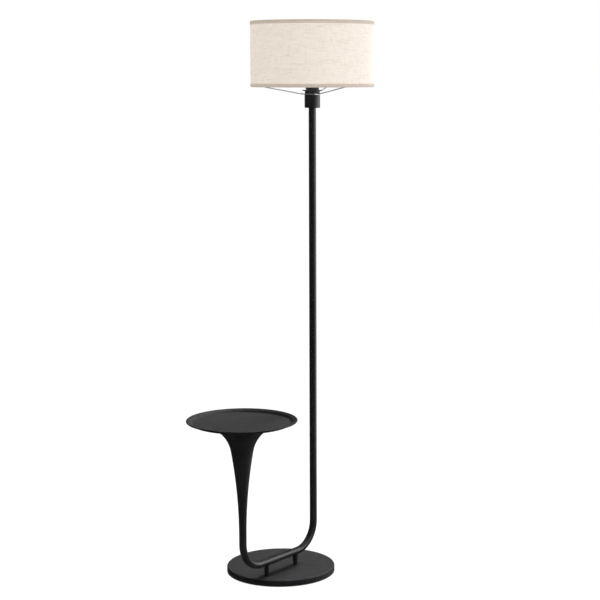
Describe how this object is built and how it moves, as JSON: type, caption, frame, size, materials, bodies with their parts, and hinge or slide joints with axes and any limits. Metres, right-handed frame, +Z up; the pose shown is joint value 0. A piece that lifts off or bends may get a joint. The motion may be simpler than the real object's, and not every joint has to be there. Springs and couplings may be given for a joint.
{
  "type": "floor lamp with table",
  "caption": "Floor lamp on a round weighted base, its bent tube carrying a linen drum shade on a tall pole and a round tray on a flared trumpet.",
  "frame": {"origin": "centre of the base's underside, on the floor", "axes": "+X from the tray towards the pole, in the direction of the bent tube's plane; +Z up, along the pole"},
  "size_m": [0.6455, 0.365, 1.577],
  "materials": {
    "powder_black": "satin powder coat",
    "cast_iron": "rough cast",
    "zinc_steel": "zinc plated",
    "felt": "pressed felt",
    "black_rubber": "matt",
    "lead_jacket": "matt",
    "holder_black": "moulded, satin",
    "insert_ceramic": "moulded, matt",
    "brass": "rolled",
    "spider_wire": "bright wire",
    "liner": "matt sheet",
    "linen": "plain weave",
    "trim_cloth": "plain weave tape",
    "cap_metal": "rolled",
    "cap_insulator": "glossy",
    "bulb_plastic": "glossy white",
    "board": "matt",
    "opal_globe": "opal, satin"
  },
  "bodies": {
    "root": {"base_cover": "powder_black", "base_plate": "powder_black", "post_tray_side": "powder_black", "post_pole_side": "powder_black", "frame_tube": "powder_black", "pole_middle": "powder_black", "pole_upper": "powder_black", "trumpet": "powder_black", "tray": "powder_black", "holder_cup": "powder_black", "base_weight": "cast_iron", "plate_screws": "zinc_steel", "post_screws": "zinc_steel", "post_washers": "zinc_steel", "tube_inserts": "zinc_steel", "coupler_lower": "zinc_steel", "coupler_upper": "zinc_steel", "pole_bush": "zinc_steel", "trumpet_plug": "zinc_steel", "tie_rod": "zinc_steel", "tray_boss": "zinc_steel", "holder_nipple": "zinc_steel", "nipple_nut": "zinc_steel", "base_felt": "felt", "cord_grommet": "black_rubber", "inner_lead": "lead_jacket", "holder_barrel": "holder_black", "holder_insert": "insert_ceramic", "terminal_screws": "brass", "centre_contact": "brass", "screw_shell": "brass"},
    "lock_ring": {"lock_ring": "holder_black"},
    "shade": {"shade_spider": "spider_wire", "shade_low_ring": "spider_wire", "shade_top_ring": "spider_wire", "shade_liner": "liner", "shade_fabric": "linen", "trim_top": "trim_cloth", "trim_bottom": "trim_cloth"},
    "bulb_tip": {"bulb_contact": "brass"},
    "bulb": {"bulb_insulator": "cap_insulator", "bulb_cap": "cap_metal", "bulb_housing": "bulb_plastic", "led_board": "board", "bulb_globe": "opal_globe"}
  },
  "joints": [
    {"name": "shade_turn", "type": "hinge", "parent": "root", "child": "shade", "pos_m": [0.11, -0.034, 1.373], "axis": [0, 0, 1], "continuous": true},
    {"name": "lock_ring_turn", "type": "hinge", "parent": "root", "child": "lock_ring", "pos_m": [0.11, -0.034, 1.379], "axis": [0, 0, 1], "range_deg": [0, 180]},
    {"name": "bulb_lift", "type": "slide", "parent": "root", "child": "bulb_tip", "axis": [0, 0, 1], "range_m": [0, 0.0218]},
    {"name": "bulb_turn", "type": "hinge", "parent": "bulb_tip", "child": "bulb", "pos_m": [0.11, -0.034, 1.377], "axis": [0, 0, 1], "range_deg": [0, 2170]}
  ],
  "couplings": [
    {"joint": "bulb_turn", "follows": "bulb_lift", "rad_per_m": 1730.9}
  ]
}
